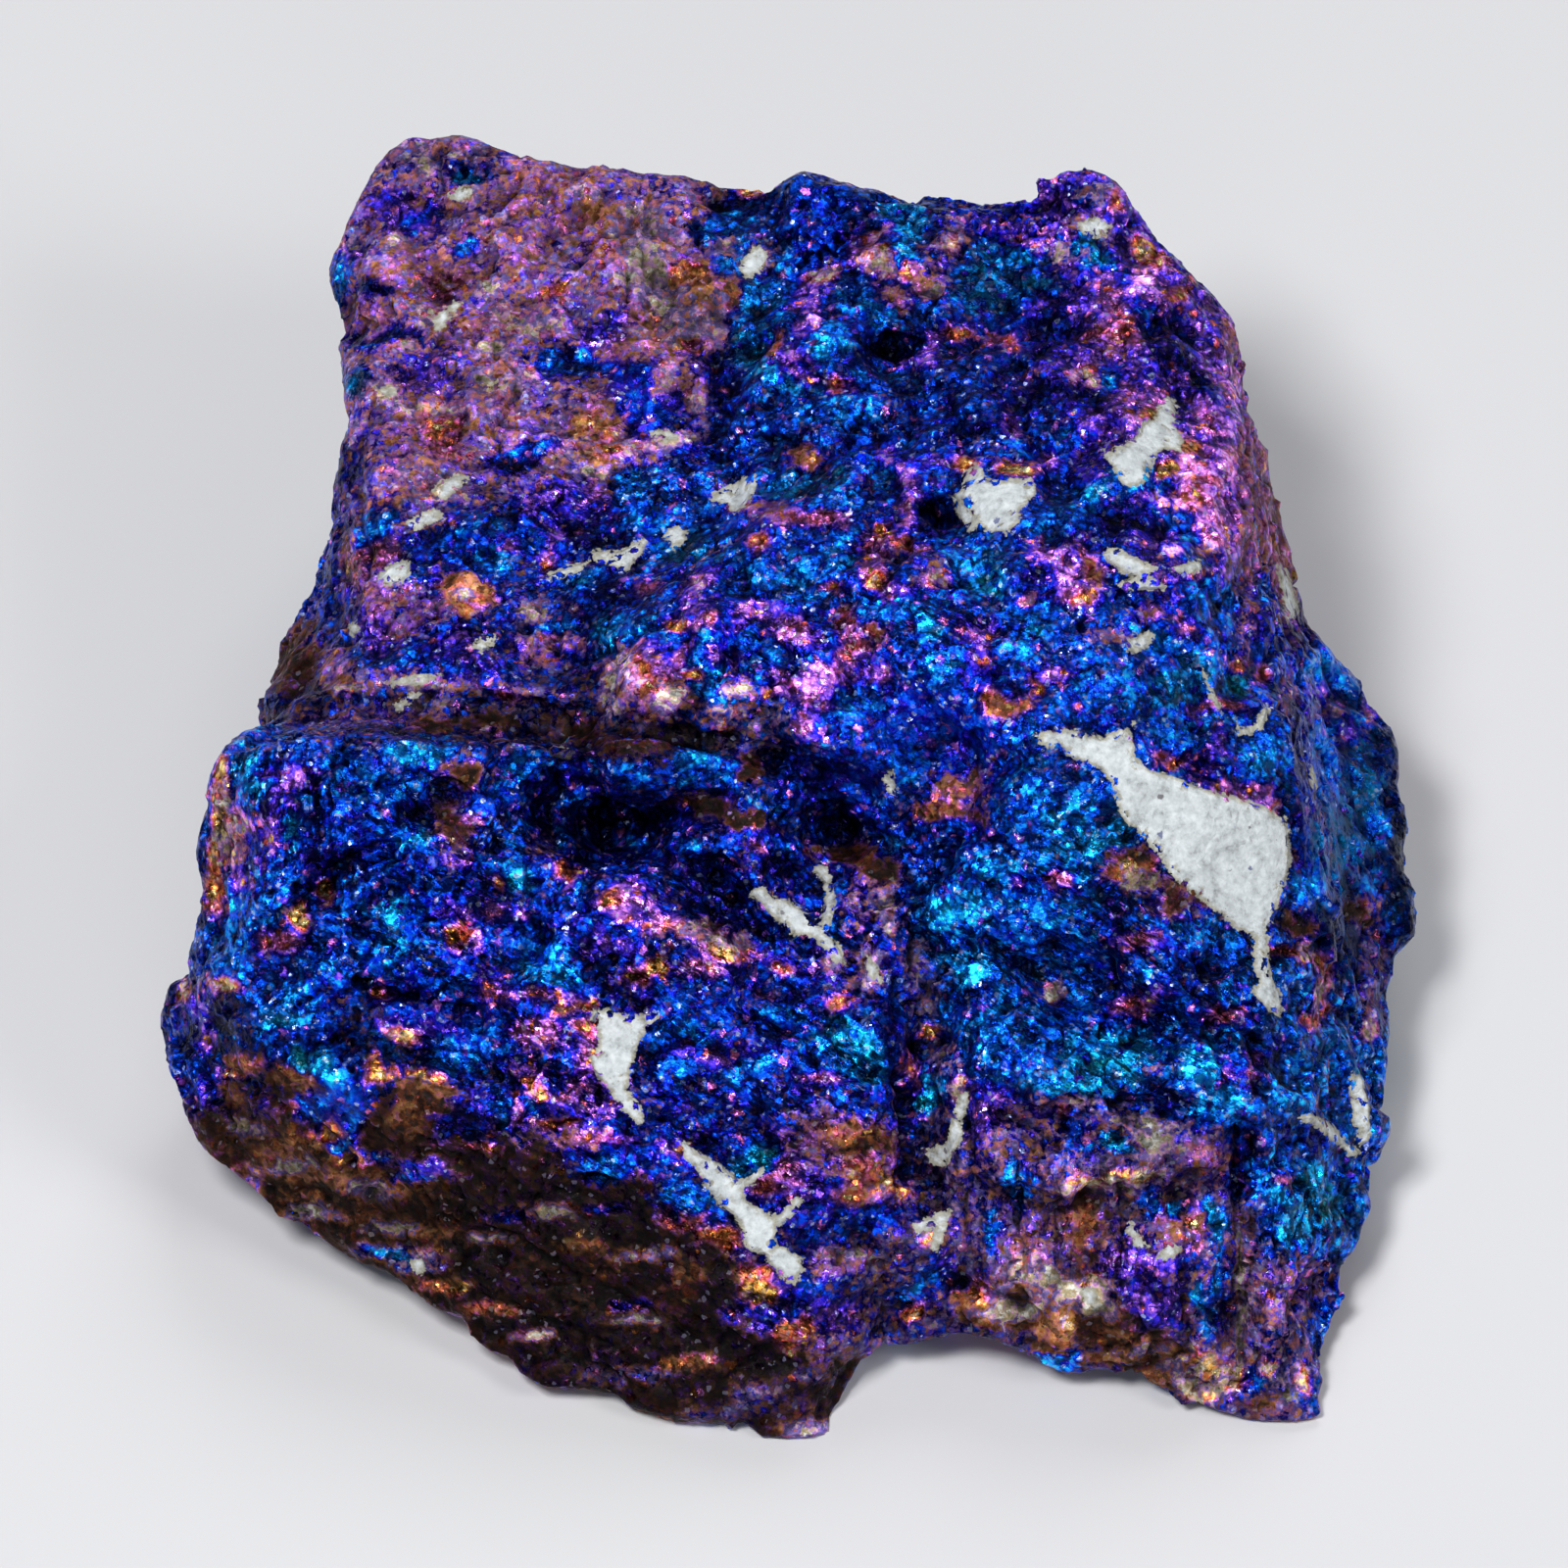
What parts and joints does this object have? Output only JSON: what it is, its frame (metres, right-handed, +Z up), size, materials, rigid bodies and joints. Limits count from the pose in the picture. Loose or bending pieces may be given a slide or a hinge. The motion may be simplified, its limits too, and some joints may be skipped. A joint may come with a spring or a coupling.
{
  "type": "peacock ore specimen",
  "caption": "Broken hand-sized lump of iridescent blue, violet and gold tarnished copper ore with white quartz patches, lying on its flattest face.",
  "frame": {"origin": "middle of the bottom of the stone's box, on the surface it lies on", "axes": "+Z up from the surface, -Y towards the viewer of the picture, +X to the viewer's right"},
  "size_m": [0.0514, 0.059, 0.0225],
  "materials": {
    "tarnished_ore": "iridescent blue, violet and gold metallic tarnish with white quartz patches and dull brown oxide, granular"
  },
  "bodies": {
    "root": {"peacock_ore": "tarnished_ore"}
  },
  "joints": []
}
